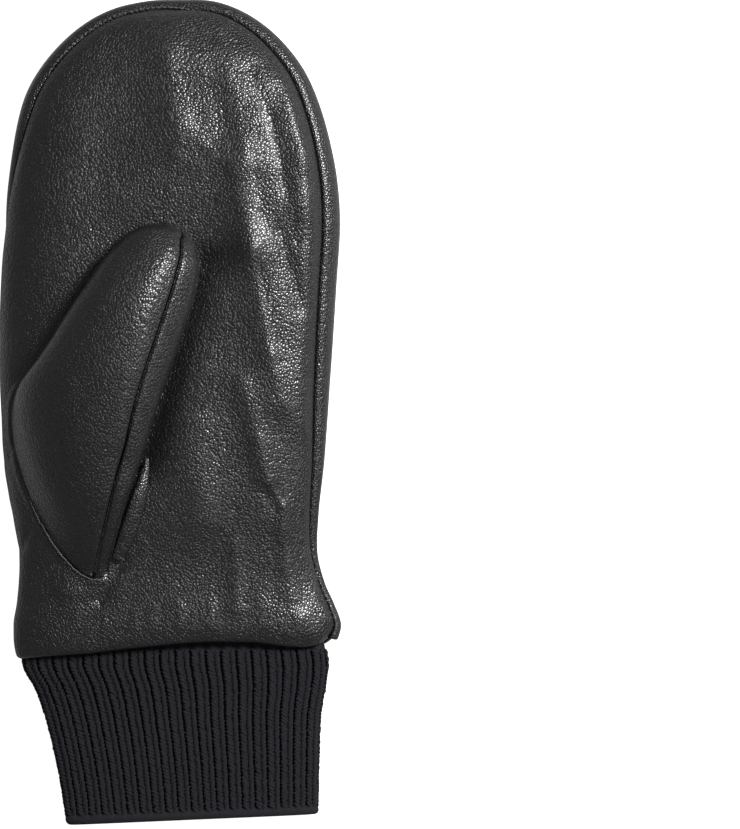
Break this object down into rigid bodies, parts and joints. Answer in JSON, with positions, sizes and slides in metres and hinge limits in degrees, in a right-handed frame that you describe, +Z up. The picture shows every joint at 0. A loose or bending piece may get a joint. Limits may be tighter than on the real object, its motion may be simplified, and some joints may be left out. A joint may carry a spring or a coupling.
{
  "type": "leather mitten with ribbed knit cuff",
  "caption": "Left-hand leather mitten lying palm up, with a boxed body, folded-over thumb, elastic gathers at the wrist and a ribbed knit cuff; hollow for hand and thumb.",
  "frame": {"origin": "on the surface that the mitten lies on, below the middle of its bounding box", "axes": "+Y from the cuff to the fingertips, +Z up out of the palm, +X towards the little finger side"},
  "size_m": [0.1158, 0.2804, 0.0447],
  "materials": {
    "leather": "smooth black leather, semi-gloss, fine pebbled grain, softly creased",
    "knit": "matt black ribbed wool knit"
  },
  "bodies": {
    "root": {"palm_panel": "leather", "back_panel": "leather", "side_strip": "leather", "thumb_panel": "leather", "thumb_strip": "leather", "thumb_gusset": "leather", "rib_cuff": "knit"}
  },
  "joints": []
}
